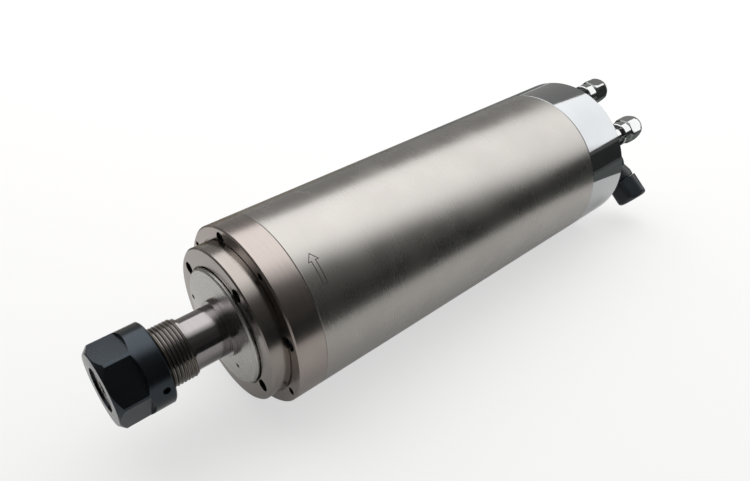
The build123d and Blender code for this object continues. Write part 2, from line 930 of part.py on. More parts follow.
def nut_extraction_ring():
    """The off-centre ring in the nut that pulls the collet out of its taper."""
    end_x = extraction_ring_x + extraction_ring_width
    blank = tube(extraction_ring_x, end_x, thread_major_radius)
    return blank - Pos(0, extraction_ring_offset, 0) * rod(
        extraction_ring_bore, extraction_ring_x - 1, end_x + 1
    )


# ---- Rear cap ----
def cap_land(start, end, radius):
    """The cap's rim with the two water bosses, between two places along X."""
    land = tube(start, end, radius, cap_cavity_radius)
    bosses = [
        rod(boss_radius, start, end, port_circle_radius, angle)
        for angle in (upper_port_angle, lower_port_angle)
    ]
    return land + bosses


def cap_gasket():
    """The gasket between the rear bearing housing and the cap."""
    blank = cap_land(rear_flange_x, cap_front_x, jacket_radius)
    cutters = [
        rod(port_radius, rear_flange_x - 1, cap_front_x + 1, port_circle_radius, angle)
        for angle in (upper_port_angle, lower_port_angle)
    ]
    screw_hole = rod(
        screw_radius + hole_clearance,
        rear_flange_x - 1,
        cap_front_x + 1,
        cap_screw_circle_radius,
    )
    return blank - (cutters + around(screw_hole, screw_count, cap_screw_angle))


def rear_cap():
    """The plated rear cap, bored for the water fittings and the power socket."""
    plate_x = rear_face_x - cap_plate
    blank = turned(
        (cap_front_x, cap_cavity_radius),
        (cap_front_x, body_radius - seam_chamfer),
        (cap_front_x + seam_chamfer, body_radius),
        (rear_face_x - edge_chamfer, body_radius),
        (rear_face_x, body_radius - edge_chamfer),
        (rear_face_x, 0),
        (plate_x, 0),
        (plate_x, cap_cavity_radius),
    )
    stub_x = rear_face_x - fitting_stub_length - screw_tip_room
    cutters = []
    for angle in (upper_port_angle, lower_port_angle):
        blank += rod(boss_radius, cap_front_x, plate_x + 1, port_circle_radius, angle)
        cutters.append(rod(port_radius, cap_front_x - 1, stub_x + 1, port_circle_radius, angle))
        cutters.append(
            rod(fitting_thread_radius + slip, stub_x, rear_face_x + 1, port_circle_radius, angle)
        )
    cutters.append(
        rod(socket_radius + slip, plate_x - 1, rear_face_x + 1, socket_circle_radius, socket_angle)
    )
    seat_x = cap_screw_head_x - screw_head_height
    head_hole = rod(
        screw_head_radius + hole_clearance, seat_x, rear_face_x + 1, cap_screw_circle_radius
    )
    shank_hole = rod(
        screw_radius + hole_clearance, cap_front_x - 1, seat_x + 1, cap_screw_circle_radius
    )
    cutters += around(head_hole, screw_count, cap_screw_angle)
    cutters += around(shank_hole, screw_count, cap_screw_angle)
    return blank - cutters


def cap_screws():
    """The long screws through the cap and the rear housing into the jacket."""
    one = screw(cap_screw_head_x, cap_screw_tip_x, cap_screw_circle_radius)
    return group(around(one, screw_count, cap_screw_angle))


# ---- Water fittings ----
def water_fitting():
    """A threaded fitting with a hexagon and a socket for the tube."""
    stub_x = rear_face_x - fitting_stub_length
    blank = rod(fitting_thread_radius, stub_x, neck_end_x)
    blank += hexagon(fitting_hex, washer_x, neck_start_x)
    bore = rod(fitting_bore_radius, stub_x - 1, neck_end_x + 1)
    tube_socket = rod(tube_hole_radius, neck_end_x - tube_socket_length, neck_end_x + 1)
    return blank - [bore, tube_socket]


def fitting_washer():
    """The sealing washer under a water fitting."""
    return tube(rear_face_x, washer_x, washer_radius, fitting_thread_radius + slip)


def ferrule():
    """The tapered ring that the hose nut squeezes onto the tube."""
    return turned(
        (ferrule_x, tube_hole_radius),
        (ferrule_x, fitting_thread_radius),
        (ferrule_end_x, fitting_thread_radius - ferrule_taper),
        (ferrule_end_x, tube_hole_radius),
    )


def hose_nut():
    """The domed hexagonal nut that holds the tube in its fitting."""
    dome_x = hose_nut_end_x - hose_nut_dome_length
    dome = rod(hose_nut_dome_radius, hose_nut_x, dome_x)
    dome += Pos(dome_x, 0, 0) * Sphere(hose_nut_dome_radius)
    cone = fitting_thread_radius + seat_gap
    hollow = turned(
        (hose_nut_x - 1, 0),
        (hose_nut_x - 1, cone),
        (ferrule_x, cone),
        (ferrule_end_x + seat_gap, cone - ferrule_taper),
        (ferrule_end_x + seat_gap, tube_hole_radius),
        (hose_nut_end_x + 1, tube_hole_radius),
        (hose_nut_end_x + 1, 0),
    )
    return (hexagon(hose_nut_hex, hose_nut_x, hose_nut_end_x) & dome) - hollow


# ---- Power socket ----
def pin_places(shape):
    """A shape at each contact of the power connector."""
    return around(Pos(0, pin_circle_radius, 0) * shape, pin_count, pin_angle)


def power_socket():
    """The threaded metal shell of the power socket."""
    blank = rod(socket_radius, socket_front_x, socket_end_x)
    blank += rod(socket_flange_radius, rear_face_x, rear_face_x + socket_flange_length)
    return blank - rod(socket_bore_radius, socket_front_x - 1, socket_end_x + 1)


def socket_insulator():
    """The moulded block that holds the socket's contacts."""
    start = socket_front_x + insulator_rear
    blank = rod(socket_bore_radius - slip, start, insulator_end_x)
    return blank - pin_places(rod(pin_radius + slip, start - 1, insulator_end_x + 1))


def contact_pins():
    """The socket's contacts."""
    return group(pin_places(rod(pin_radius, pin_start_x, pin_end_x)))


def socket_lock_nut():
    """The hexagonal nut that holds the socket from inside the cap."""
    end_x = rear_face_x - cap_plate
    start_x = end_x - socket_nut_length
    return hexagon(socket_nut_hex, start_x, end_x) - rod(socket_radius + slip, start_x - 1, end_x + 1)


# ---- Angled plug ----
def plug_shell():
    """The flanged inner shell that the coupling ring draws in."""
    bore = plug_insert_radius + slip
    end_x = plug_neck_x + plug_neck_length
    return turned(
        (plug_flange_x, bore),
        (plug_flange_x, plug_flange_radius),
        (plug_neck_x, plug_flange_radius),
        (plug_neck_x, plug_neck_radius),
        (end_x, plug_neck_radius),
        (end_x, bore),
    )


def plug_insert():
    """The moulded block with the plug's contact holes."""
    start = insulator_end_x + hole_clearance
    end_x = plug_neck_x + plug_neck_length
    blank = rod(plug_insert_radius, start, end_x)
    return blank - pin_places(rod(pin_radius + seat_gap, start - 1, start + plug_pin_depth))


def coupling_ring():
    """The knurled ring that screws the plug to the socket."""
    bore = socket_radius + seat_gap
    lip_x = plug_neck_x + seat_gap
    return turned(
        (ring_x, bore),
        (ring_x, ring_radius - ring_chamfer),
        (ring_x + ring_chamfer, ring_radius),
        (ring_end_x - ring_chamfer, ring_radius),
        (ring_end_x, ring_radius - ring_chamfer),
        (ring_end_x, plug_neck_radius + seat_gap),
        (lip_x, plug_neck_radius + seat_gap),
        (lip_x, bore),
    )


def along_arm(shape):
    """A shape modelled along X from the elbow, turned to lie along the arm."""
    return Rot(X=plug_arm_angle) * Pos(elbow_x, 0, 0) * Rot(Z=90) * shape


def plug_elbow():
    """The hollow angled housing of the plug."""
    start = ring_end_x + plug_arm_gap
    end_x = elbow_x + plug_corner
    arm_end = plug_arm_length
    blank = turned(
        (start, 0),
        (start, plug_radius),
        (end_x - plug_corner_chamfer, plug_radius),
        (end_x, plug_radius - plug_corner_chamfer),
        (end_x, 0),
    )
    blank += along_arm(rod(plug_arm_radius, 0, arm_end))
    blank += along_arm(rod(gland_spigot_radius, arm_end - 1, arm_end + gland_spigot_length))
    cutters = [
        rod(plug_neck_radius + slip, start - 1, plug_neck_x + plug_neck_length),
        rod(plug_cavity_radius, start, end_x - plug_end_wall),
        along_arm(rod(plug_arm_bore_radius, 0, arm_end + gland_spigot_length + 1)),
    ]
    return blank - cutters


def gland_nut():
    """The hexagonal nut that clamps the cable in the plug."""
    start = plug_arm_length
    end = start + gland_length
    dome_x = end - gland_dome_length
    dome = rod(gland_radius, start, dome_x) + Pos(dome_x, 0, 0) * Sphere(gland_radius)
    blank = hexagon(gland_hex, start, end) & dome
    cutters = [
        rod(gland_spigot_radius + slip, start - 1, start + gland_spigot_length),
        rod(cable_hole_radius, start, end + 1),
    ]
    return along_arm(blank - cutters)


# ---- The assembly ----
upper_port = offset_axis(port_circle_radius, upper_port_angle)
lower_port = offset_axis(port_circle_radius, lower_port_angle)
socket_place = offset_axis(socket_circle_radius, socket_angle)
turn_to_socket = Rot(X=socket_angle)

nodes = {
    "outer_sleeve": outer_sleeve(),
    "water_jacket": water_jacket(),
    "jacket_seals": jacket_seals(),
    "front_bearing_housing": front_bearing_housing(),
    "front_housing_screws": front_housing_screws(),
    "front_bearing_cover": front_bearing_cover(),
    "front_cover_screws": front_cover_screws(),
    "front_outer_rings": front_outer_rings(),
    "outer_spacer": outer_spacer(),
    "stator_core": stator_core(),
    "stator_windings": stator_windings(),
    "rear_bearing_housing": rear_bearing_housing(),
    "housing_seals": housing_seals(),
    "rear_outer_ring": rear_outer_ring(),
    "preload_spring": preload_spring(),
    "cap_gasket": cap_gasket(),
    "rear_cap": rear_cap(),
    "cap_screws": cap_screws(),
    "upper_water_fitting": upper_port * water_fitting(),
    "lower_water_fitting": lower_port * water_fitting(),
    "fitting_washers": group([upper_port * fitting_washer(), lower_port * fitting_washer()]),
    "power_socket": socket_place * power_socket(),
    "socket_insulator": socket_place * turn_to_socket * socket_insulator(),
    "contact_pins": socket_place * turn_to_socket * contact_pins(),
    "socket_lock_nut": socket_place * turn_to_socket * socket_lock_nut(),
    "spindle_shaft": spindle_shaft(),
    "dust_cover": dust_cover(),
    "bearing_lock_nut": bearing_lock_nut(),
    "front_inner_rings": front_inner_rings(),
    "inner_spacer": inner_spacer(),
    "rotor_core": rotor_core(),
    "rotor_end_rings": rotor_end_rings(),
    "rear_inner_ring": rear_inner_ring(),
    "rear_lock_nut": rear_lock_nut(),
    "collet": collet(),
    "collet_nut": collet_nut(),
    "nut_extraction_ring": nut_extraction_ring(),
    "upper_ferrule": upper_port * ferrule(),
    "upper_hose_nut": upper_port * hose_nut(),
    "lower_ferrule": lower_port * ferrule(),
    "lower_hose_nut": lower_port * hose_nut(),
    "plug_shell": socket_place * plug_shell(),
    "plug_insert": socket_place * turn_to_socket * plug_insert(),
    "plug_elbow": socket_place * plug_elbow(),
    "gland_nut": socket_place * gland_nut(),
    "coupling_ring": socket_place * coupling_ring(),
}

for name, shape in nodes.items():
    export_step(shape, f"parts/{name}.step")
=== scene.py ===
import math

import bmesh
import bpy
from mathutils import Matrix, Vector


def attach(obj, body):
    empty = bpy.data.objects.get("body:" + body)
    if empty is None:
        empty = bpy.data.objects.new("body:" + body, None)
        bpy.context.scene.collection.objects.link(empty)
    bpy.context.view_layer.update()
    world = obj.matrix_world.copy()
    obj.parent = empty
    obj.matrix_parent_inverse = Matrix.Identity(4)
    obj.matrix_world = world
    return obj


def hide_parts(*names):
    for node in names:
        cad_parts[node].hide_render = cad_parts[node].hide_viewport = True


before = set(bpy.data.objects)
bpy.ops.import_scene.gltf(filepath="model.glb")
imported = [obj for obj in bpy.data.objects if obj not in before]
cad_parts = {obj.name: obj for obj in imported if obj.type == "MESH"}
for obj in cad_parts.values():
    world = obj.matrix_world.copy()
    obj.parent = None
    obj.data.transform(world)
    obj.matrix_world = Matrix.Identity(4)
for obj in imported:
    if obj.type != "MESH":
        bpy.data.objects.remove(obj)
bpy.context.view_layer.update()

# Water-cooled motor spindle lying on its body. Metres, the CAD frame: X along the
# spindle towards the water fittings, Z up, the floor 40 mm below the axis.
MM = 0.001
AXIS = (0.0, 0.0, 0.0)
MATH = "ShaderNodeMath"
BUMP_HEIGHT = 0.2 * MM
EDGE_SAMPLES = 4
CLOUD_SIZE = 22.22 * MM  # stains and handling marks on metal
MOTTLE_SIZE = 11.11 * MM  # uneven tone of plastic, rubber and coatings
# Colour of a thread's root: its oil and dust, and painted shade there.
THREAD_DIRT_AND_SHADE = "#1d1b19"


def polar(circle_mm, angle):
    """The axis of a part that stands parallel to the spindle, on a circle about it."""
    turn = math.radians(angle)
    return (0.0, circle_mm * MM * math.cos(turn), circle_mm * MM * math.sin(turn))


FITTING_CIRCLE = 29.0
UPPER_FITTING = polar(FITTING_CIRCLE, 88.0)
LOWER_FITTING = polar(FITTING_CIRCLE, 149.0)
SOCKET = polar(22.0, 205.0)


def linear(hex_colour):
    """An sRGB hex colour as the linear values that shaders take."""
    values = [int(hex_colour[i : i + 2], 16) / 255 for i in (1, 3, 5)]
    return tuple(
        [v / 12.92 if v <= 0.04045 else ((v + 0.055) / 1.055) ** 2.4 for v in values] + [1.0]
    )


def add(tree, kind, inputs=None, **settings):
    """One node, with its settings, its socket values and its links.

    A node given as a value links its first output.
    """
    node = tree.nodes.new(kind)
    for name, value in settings.items():
        setattr(node, name, value)
    for name, value in (inputs or {}).items():
        if isinstance(value, bpy.types.Node):
            value = value.outputs[0]
        if isinstance(value, bpy.types.NodeSocket):
            tree.links.new(value, node.inputs[name])
        else:
            node.inputs[name].default_value = value
    return node


# ---- Materials ----
def paint(name):
    """A new material of nodes: itself and its tree."""
    material = bpy.data.materials.new(name)
    material.use_nodes = True
    return material, material.node_tree


def turned_coordinates(tree, centre, ring_mm):
    """Coordinates that change fast along the axis and outwards, and slowly round it.

    A noise texture on them draws the rings that a lathe tool or a belt leaves. Real
    feed marks are 0.05 to 0.2 mm apart, too fine to show, so ring_mm is coarser.
    """
    spot = add(tree, "ShaderNodeTexCoord").outputs["Object"]
    moved = add(tree, "ShaderNodeVectorMath", {0: spot, 1: centre}, operation="SUBTRACT")
    split = add(tree, "ShaderNodeSeparateXYZ", {0: moved})
    flat = add(tree, "ShaderNodeVectorMath", {0: moved, 1: (0, 1, 1)}, operation="MULTIPLY")
    radius = add(tree, "ShaderNodeVectorMath", {0: flat}, operation="LENGTH")
    across = add(tree, MATH, {0: split.outputs["Y"], 1: split.outputs["Z"]}, operation="ADD")
    fast = 1 / (ring_mm * MM)
    slow = 0.02 * fast
    unrolled = add(
        tree,
        "ShaderNodeCombineXYZ",
        {"X": split.outputs["X"], "Y": radius.outputs["Value"], "Z": across},
    )
    rings = add(
        tree, "ShaderNodeVectorMath", {0: unrolled, 1: (fast, fast, slow)}, operation="MULTIPLY"
    )
    back = add(tree, MATH, {0: split.outputs["Z"], 1: -1.0}, operation="MULTIPLY")
    tangent = add(tree, "ShaderNodeCombineXYZ", {"Y": back, "Z": split.outputs["Y"]})
    turned_tangent = add(
        tree,
        "ShaderNodeVectorTransform",
        {0: tangent},
        vector_type="VECTOR",
        convert_from="OBJECT",
        convert_to="WORLD",
    )
    return rings, turned_tangent, moved, radius.outputs["Value"]


def turned_metal(
    name,
    dark,
    light,
    roughness=0.22,
    spread=0.06,
    ring_mm=0.9,
    ring_depth=0.1,
    anisotropy=0.0,
    edge_mm=0.2,
    centre=AXIS,
    metallic=1.0,
    cloud_share=0.35,
    valley_mm=None,
):
    """A metal finished on a lathe or a belt: fine rings, soft edges, faint cloudiness.

    Below valley_mm from the axis its colour darkens: partly the oil and dust that stay in a
    thread's root, partly painted shade there.
    """
    material, tree = paint(name)
    shader = tree.nodes["Principled BSDF"]
    rings, tangent, place, radius = turned_coordinates(tree, centre, ring_mm)
    lines = add(
        tree,
        "ShaderNodeTexNoise",
        {"Vector": rings, "Scale": 1.0, "Detail": 3.0, "Roughness": 0.6},
    )
    cloud = add(
        tree, "ShaderNodeTexNoise", {"Vector": place, "Scale": 1 / CLOUD_SIZE, "Detail": 2.0}
    )
    mixed = add(
        tree, "ShaderNodeMix", {0: cloud_share, 2: lines, 3: cloud}, data_type="FLOAT"
    )
    tone = add(tree, "ShaderNodeMapRange", {"Value": mixed, "From Min": 0.3, "From Max": 0.7})
    colour = add(
        tree, "ShaderNodeMix", {0: tone, 6: linear(dark), 7: linear(light)}, data_type="RGBA"
    ).outputs[2]
    # Painted shade with oil and dust: the thread's root is darkened in the colour.
    if valley_mm:
        depth = add(
            tree,
            "ShaderNodeMapRange",
            {"Value": radius, "From Min": (valley_mm - 0.3) * MM, "From Max": valley_mm * MM},
        )
        colour = add(
            tree, "ShaderNodeMix", {0: depth, 6: linear(THREAD_DIRT_AND_SHADE), 7: colour}, data_type="RGBA"
        ).outputs[2]
    tree.links.new(colour, shader.inputs["Base Color"])
    rough = add(
        tree,
        "ShaderNodeMapRange",
        {"Value": tone, "To Min": roughness - spread, "To Max": roughness + spread},
    )
    tree.links.new(rough.outputs["Result"], shader.inputs["Roughness"])
    soft = add(tree, "ShaderNodeBevel", {"Radius": edge_mm * MM}, samples=EDGE_SAMPLES)
    bump = add(
        tree,
        "ShaderNodeBump",
        {
            "Height": lines,
            "Strength": ring_depth,
            "Distance": BUMP_HEIGHT,
            "Normal": soft.outputs["Normal"],
        },
    )
    tree.links.new(bump.outputs["Normal"], shader.inputs["Normal"])
    shader.inputs["Metallic"].default_value = metallic
    if anisotropy:
        shader.inputs["Anisotropic"].default_value = anisotropy
        tree.links.new(tangent.outputs[0], shader.inputs["Tangent"])
    return material


def moulded(name, dark, light, roughness=0.4, grain_mm=0.6, depth=0.15, edge_mm=0.3, **fixed):
    """A moulded or coated finish: fine grain in the surface and slight mottling.

    Real moulded grain is about 0.1 mm, too fine to show, so grain_mm is coarser.
    """
    material, tree = paint(name)
    shader = tree.nodes["Principled BSDF"]
    spot = add(tree, "ShaderNodeTexCoord").outputs["Object"]
    grain = add(
        tree, "ShaderNodeTexNoise", {"Vector": spot, "Scale": 1 / (grain_mm * MM), "Detail": 2.0}
    )
    mottle = add(
        tree, "ShaderNodeTexNoise", {"Vector": spot, "Scale": 1 / MOTTLE_SIZE, "Detail": 3.0}
    )
    tone = add(tree, "ShaderNodeMapRange", {"Value": mottle, "From Min": 0.35, "From Max": 0.65})
    colour = add(
        tree, "ShaderNodeMix", {0: tone, 6: linear(dark), 7: linear(light)}, data_type="RGBA"
    )
    tree.links.new(colour.outputs[2], shader.inputs["Base Color"])
    rough = add(
        tree,
        "ShaderNodeMapRange",
        {"Value": grain, "To Min": roughness - 0.08, "To Max": roughness + 0.08},
    )
    tree.links.new(rough.outputs["Result"], shader.inputs["Roughness"])
    soft = add(tree, "ShaderNodeBevel", {"Radius": edge_mm * MM}, samples=EDGE_SAMPLES)
    bump = add(
        tree,
        "ShaderNodeBump",
        {
            "Height": grain,
            "Strength": depth,
            "Distance": BUMP_HEIGHT,
            "Normal": soft.outputs["Normal"],
        },
    )
    tree.links.new(bump.outputs["Normal"], shader.inputs["Normal"])
    for socket, value in fixed.items():
        shader.inputs[socket.replace("_", " ")].default_value = value
    return material


# Stainless tube, belt-polished round and round: a broad soft sheen with faint hoops.
sleeve_steel = turned_metal(
    "stainless_steel_belt_polished",
    "#999692",
    "#a4a19d",
    roughness=0.27,
    spread=0.035,
    ring_mm=0.3,
    ring_depth=0.02,
    cloud_share=0.78,
)
# Fine-turned carbon steel, a little warmer than the stainless sleeve.
rim_steel = turned_metal(
    "carbon_steel_fine_turned",
    "#928985",
    "#9e9691",
    roughness=0.23,
    spread=0.04,
    ring_mm=0.4,
    ring_depth=0.06,
    cloud_share=0.5,
)
# Faced carbon steel: the tool's rings spread the light outwards from the axis.
nose_steel = turned_metal(
    "carbon_steel_faced",
    "#89837e",
    "#96908b",
    roughness=0.21,
    spread=0.04,
    ring_mm=0.4,
    ring_depth=0.1,
    anisotropy=0.4,
    cloud_share=0.5,
)
# Hardened and ground alloy steel: nearly a mirror, darker than the turned parts.
shaft_steel = turned_metal(
    "alloy_steel_ground",
    "#858081",
    "#908c8c",
    roughness=0.13,
    spread=0.03,
    ring_mm=0.4,
    ring_depth=0.03,
    cloud_share=0.6,
)
# The same steel as cut on the thread: duller and browner, with oil and painted shade darkening
# its root.
thread_steel = turned_metal(
    "alloy_steel_thread_cut",
    "#6f6960",
    "#88817a",
    roughness=0.34,
    ring_mm=0.6,
    ring_depth=0.2,
    edge_mm=0.08,
    valley_mm=12.35,
)
# Turned aluminium: pale, with bright fans where the rings face the light.
disc_aluminium = turned_metal(
    "aluminium_turned",
    "#a19f9c",
    "#c4c2bf",
    roughness=0.27,
    spread=0.1,
    ring_mm=0.5,
    ring_depth=0.35,
    anisotropy=0.8,
    edge_mm=0.5,
    cloud_share=0.3,
)
# Chromium plate on polished brass: a clean cool mirror.
cap_chrome = turned_metal(
    "chromium_plate_polished",
    "#a2a4a6",
    "#a7a9ab",
    roughness=0.05,
    spread=0.015,
    ring_depth=0.015,
    edge_mm=0.4,
    cloud_share=0.8,
)
# Bright nickel plate on small turned fittings: a mirror with soft edges.
upper_nickel = turned_metal(
    "nickel_plate_upper", "#aeb0af", "#b6b8b7", 0.07, 0.02, ring_depth=0.02, centre=UPPER_FITTING
)
lower_nickel = turned_metal(
    "nickel_plate_lower", "#aeb0af", "#b6b8b7", 0.07, 0.02, ring_depth=0.02, centre=LOWER_FITTING
)
socket_nickel = turned_metal(
    "nickel_plate_socket", "#a5a6a4", "#afb0ae", 0.12, 0.03, ring_depth=0.03, centre=SOCKET
)
# Black oxide on hardened steel: near black, satin, blue-grey where it catches light.
nut_oxide = turned_metal(
    "black_oxide_steel",
    "#2d3237",
    "#383e43",
    roughness=0.24,
    spread=0.05,
    ring_mm=0.5,
    ring_depth=0.05,
    edge_mm=0.3,
    metallic=0.9,
    cloud_share=0.7,
)
# Black oxide on small socket screws: darker and duller than the nut.
screw_oxide = turned_metal(
    "black_oxide_screws", "#303236", "#3c3e42", roughness=0.34, ring_depth=0.1, edge_mm=0.15
)
# Ground and lapped chrome steel of the bearing rings.
ring_steel = turned_metal("bearing_steel_lapped", "#a9a9a9", "#b6b6b6", 0.1, 0.03)
# Hardened spring steel with a thin oil film: grey-tan satin.
spring_steel = turned_metal("spring_steel_oiled", "#77736d", "#88847d", 0.3, 0.06)
# Bar aluminium as machined, with plain feed marks.
jacket_aluminium = turned_metal("aluminium_machined", "#a6a6a4", "#b8b8b5", 0.34, 0.06)
# Die-cast aluminium: duller and greyer than bar.
cast_aluminium = turned_metal("aluminium_die_cast", "#8f8f8e", "#a3a3a1", 0.48, 0.1, ring_mm=2.0)
# Silicon-steel laminations seen on edge, 0.5 mm each: fine dark and grey bands.
lamination = turned_metal(
    "silicon_steel_laminations", "#4a4a4c", "#74747a", 0.42, 0.1, ring_mm=0.5, ring_depth=0.4
)
# Turned brass, slightly dulled.
brass = turned_metal("brass_turned", "#b08f4c", "#c9a860", 0.24, 0.05)
# Enamelled copper wire set in varnish: red-brown and glossy.
winding = moulded(
    "copper_enamelled", "#5c2412", "#7c3519", 0.3, grain_mm=0.9, depth=0.5, Metallic=0.4
)
# Moulded nitrile rubber: black and matt.
nitrile = moulded("nitrile_rubber", "#151515", "#1e1e1e", 0.7)
# Acetal sealing washer: translucent white, waxy.
acetal = moulded("acetal_washer", "#cfccc2", "#dad8cf", 0.45)
# Glass-filled nylon of the socket's insulator.
insulator = moulded("nylon_glass_filled", "#1c1d1f", "#26282a", 0.5)
# Black glass-filled nylon of the plug: blue-black, satin, with a fine moulded grain.
plug_nylon = moulded("nylon_moulded_black", "#21272c", "#2d343a", 0.42)

FINISHES = {
    sleeve_steel: ["outer_sleeve"],
    rim_steel: ["front_bearing_housing"],
    nose_steel: ["front_bearing_cover"],
    shaft_steel: ["spindle_shaft"],
    disc_aluminium: ["dust_cover"],
    cap_chrome: ["rear_cap"],
    upper_nickel: ["upper_water_fitting", "upper_hose_nut"],
    lower_nickel: ["lower_water_fitting", "lower_hose_nut"],
    socket_nickel: ["power_socket", "socket_lock_nut", "plug_shell"],
    nut_oxide: ["collet_nut"],
    screw_oxide: [
        "front_cover_screws",
        "front_housing_screws",
        "cap_screws",
        "bearing_lock_nut",
        "rear_lock_nut",
    ],
    ring_steel: [
        "front_outer_rings",
        "outer_spacer",
        "rear_outer_ring",
        "front_inner_rings",
        "inner_spacer",
        "rear_inner_ring",
    ],
    spring_steel: ["collet", "nut_extraction_ring", "preload_spring"],
    jacket_aluminium: ["water_jacket", "rear_bearing_housing"],
    cast_aluminium: ["rotor_end_rings"],
    lamination: ["stator_core", "rotor_core"],
    brass: ["contact_pins", "upper_ferrule", "lower_ferrule"],
    winding: ["stator_windings"],
    nitrile: ["jacket_seals", "housing_seals", "cap_gasket"],
    acetal: ["fitting_washers"],
    insulator: ["socket_insulator", "plug_insert"],
    plug_nylon: ["plug_elbow", "gland_nut", "coupling_ring"],
}
for material, names in FINISHES.items():
    for name in names:
        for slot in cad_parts[name].material_slots:
            slot.material = material


# ---- Geometry Nodes pieces ----
def new_tree(name, sockets):
    """An empty geometry tree with named inputs."""
    tree = bpy.data.node_groups.new(name, "GeometryNodeTree")
    for label, kind in sockets:
        tree.interface.new_socket(label, in_out="INPUT", socket_type=kind)
    tree.interface.new_socket("Geometry", in_out="OUTPUT", socket_type="NodeSocketGeometry")
    return tree, add(tree, "NodeGroupInput").outputs


def grow(name, tree, values, body, slot, *replaced):
    """Runs a tree with its values and keeps the result as one plain mesh piece."""
    holder = bpy.data.objects.new(name + "_form", bpy.data.meshes.new(name + "_form"))
    bpy.context.scene.collection.objects.link(holder)
    modifier = holder.modifiers.new("form", "NODES")
    modifier.node_group = tree
    for item in tree.interface.items_tree:
        if item.in_out == "INPUT" and item.name in values:
            modifier[item.identifier] = values[item.name]
    graph = bpy.context.evaluated_depsgraph_get()
    graph.update()
    mesh = bpy.data.meshes.new_from_object(holder.evaluated_get(graph))
    bpy.data.objects.remove(holder)
    keep(name, mesh, body, slot, values["Material"], *replaced)


def keep(name, mesh, body, slot, material, *replaced):
    """A finished mesh becomes a piece that rides on its body."""
    mesh.name = name
    if not mesh.materials:
        mesh.materials.append(material)
    piece = bpy.data.objects.new(name, mesh)
    bpy.context.scene.collection.objects.link(piece)
    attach(piece, body)
    if replaced:
        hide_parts(*replaced)


def thread_tree():
    """One helical ridge, flat at its crest, that dies out over a third of a turn."""
    tree, given = new_tree(
        "thread_ridge",
        [
            ("Start", "NodeSocketFloat"),
            ("Length", "NodeSocketFloat"),
            ("Pitch", "NodeSocketFloat"),
            ("Crest radius", "NodeSocketFloat"),
            ("Root radius", "NodeSocketFloat"),
            ("Steps per turn", "NodeSocketInt"),
            ("Material", "NodeSocketMaterial"),
        ],
    )
    turns = add(tree, MATH, {0: given["Length"], 1: given["Pitch"]}, operation="DIVIDE")
    rows = add(tree, MATH, {0: turns, 1: given["Steps per turn"]}, operation="MULTIPLY")
    strip = add(
        tree,
        "GeometryNodeMeshGrid",
        {"Size X": 1.0, "Size Y": 1.0, "Vertices X": rows, "Vertices Y": 5},
    )
    # The strip's first side runs along the helix, its second across the ridge.
    spot = add(tree, "GeometryNodeInputPosition")
    at = add(tree, "ShaderNodeSeparateXYZ", {0: spot}).outputs
    way = add(tree, MATH, {0: at["X"], 1: 0.5}, operation="ADD")
    rest = add(tree, MATH, {0: 1.0, 1: way}, operation="SUBTRACT")
    near_end = add(tree, MATH, {0: way, 1: rest}, operation="MINIMUM")
    end_turns = add(tree, MATH, {0: near_end, 1: turns}, operation="MULTIPLY")
    rise = add(tree, "ShaderNodeMapRange", {"Value": end_turns, "From Max": 0.33})
    size = add(tree, MATH, {0: at["Y"]}, operation="ABSOLUTE")
    foot = add(tree, MATH, {0: size, 1: 0.3}, operation="GREATER_THAN")
    crest = add(tree, MATH, {0: rise, 1: foot}, operation="SUBTRACT", use_clamp=True)
    radius = add(
        tree,
        "ShaderNodeMapRange",
        {"Value": crest, "To Min": given["Root radius"], "To Max": given["Crest radius"]},
    )
    # The feet stand 0.46 of a pitch from the middle, the crest's edges 0.06.
    side = add(tree, MATH, {0: at["Y"]}, operation="SIGN")
    foot_side = add(tree, MATH, {0: side, 1: foot}, operation="MULTIPLY")
    foot_shift = add(tree, MATH, {0: foot_side, 1: 0.335}, operation="MULTIPLY")
    shift = add(tree, MATH, {0: at["Y"], 1: 0.25, 2: foot_shift}, operation="MULTIPLY_ADD")
    middle = add(
        tree, MATH, {0: way, 1: given["Length"], 2: given["Start"]}, operation="MULTIPLY_ADD"
    )
    along = add(tree, MATH, {0: shift, 1: given["Pitch"], 2: middle}, operation="MULTIPLY_ADD")
    turn = add(tree, MATH, {0: way, 1: turns}, operation="MULTIPLY")
    angle = add(tree, MATH, {0: turn, 1: 2 * math.pi}, operation="MULTIPLY")
    cosine = add(tree, MATH, {0: angle}, operation="COSINE")
    sine = add(tree, MATH, {0: angle}, operation="SINE")
    across_y = add(tree, MATH, {0: radius, 1: cosine}, operation="MULTIPLY")
    across_z = add(tree, MATH, {0: radius, 1: sine}, operation="MULTIPLY")
    place = add(tree, "ShaderNodeCombineXYZ", {"X": along, "Y": across_y, "Z": across_z})
    wound = add(tree, "GeometryNodeSetPosition", {"Geometry": strip, "Position": place})
    turned = add(tree, "GeometryNodeFlipFaces", {"Mesh": wound})
    real = add(tree, "GeometryNodeRealizeInstances", {"Geometry": turned})
    done = add(
        tree, "GeometryNodeSetMaterial", {"Geometry": real, "Material": given["Material"]}
    )
    add(tree, "NodeGroupOutput", {"Geometry": done})
    return tree


